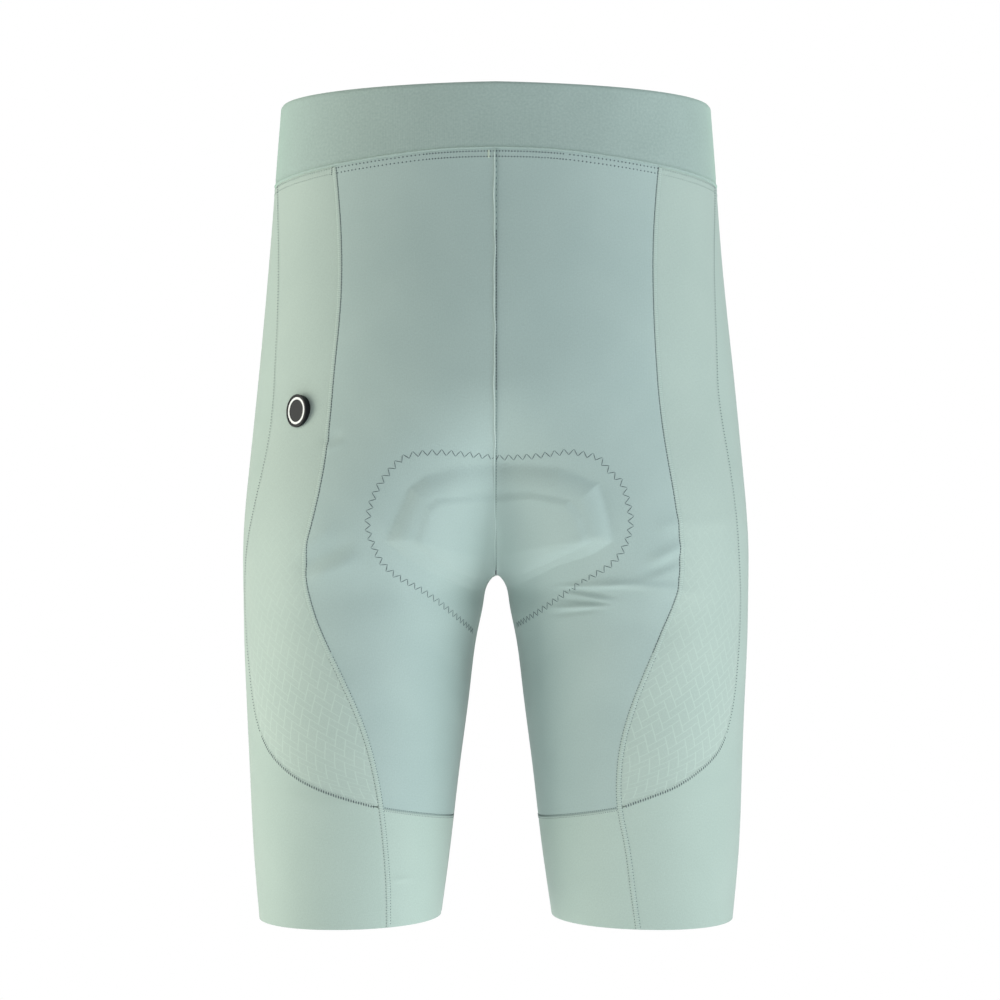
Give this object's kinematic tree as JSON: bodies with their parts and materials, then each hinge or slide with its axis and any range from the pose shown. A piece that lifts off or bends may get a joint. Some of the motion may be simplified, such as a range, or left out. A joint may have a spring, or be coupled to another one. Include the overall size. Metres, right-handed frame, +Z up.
{
  "type": "cycling tights",
  "caption": "Above-knee cycling tights held open as worn: elastic waistband, seat, side, front and cuff panels, foam seat pad inside, plain round badge",
  "frame": {"origin": "The middle of the waistband ring, half way up its sides, where the wearer's waist holds the garment up", "axes": "+Z up, the seat of the garment faces -Y, the wearer's right is +X"},
  "size_m": [0.3223, 0.2267, 0.5222],
  "materials": {
    "brushed_elastic": "brushed matt",
    "seat_knit": "fine warp knit, matt",
    "side_jacquard": "tonal jacquard knit",
    "front_knit": "fine warp knit, matt",
    "cuff_knit": "fine ribbed knit",
    "pad_foam": "brushed face on foam",
    "badge_rubber": "satin"
  },
  "bodies": {
    "root": {"waistband": "brushed_elastic", "back_left": "seat_knit", "back_right": "seat_knit", "side_left": "side_jacquard", "side_right": "side_jacquard", "front_left": "front_knit", "front_right": "front_knit", "cuff_left": "cuff_knit", "cuff_right": "cuff_knit", "chamois_pad": "pad_foam", "badge": "badge_rubber"}
  },
  "joints": []
}
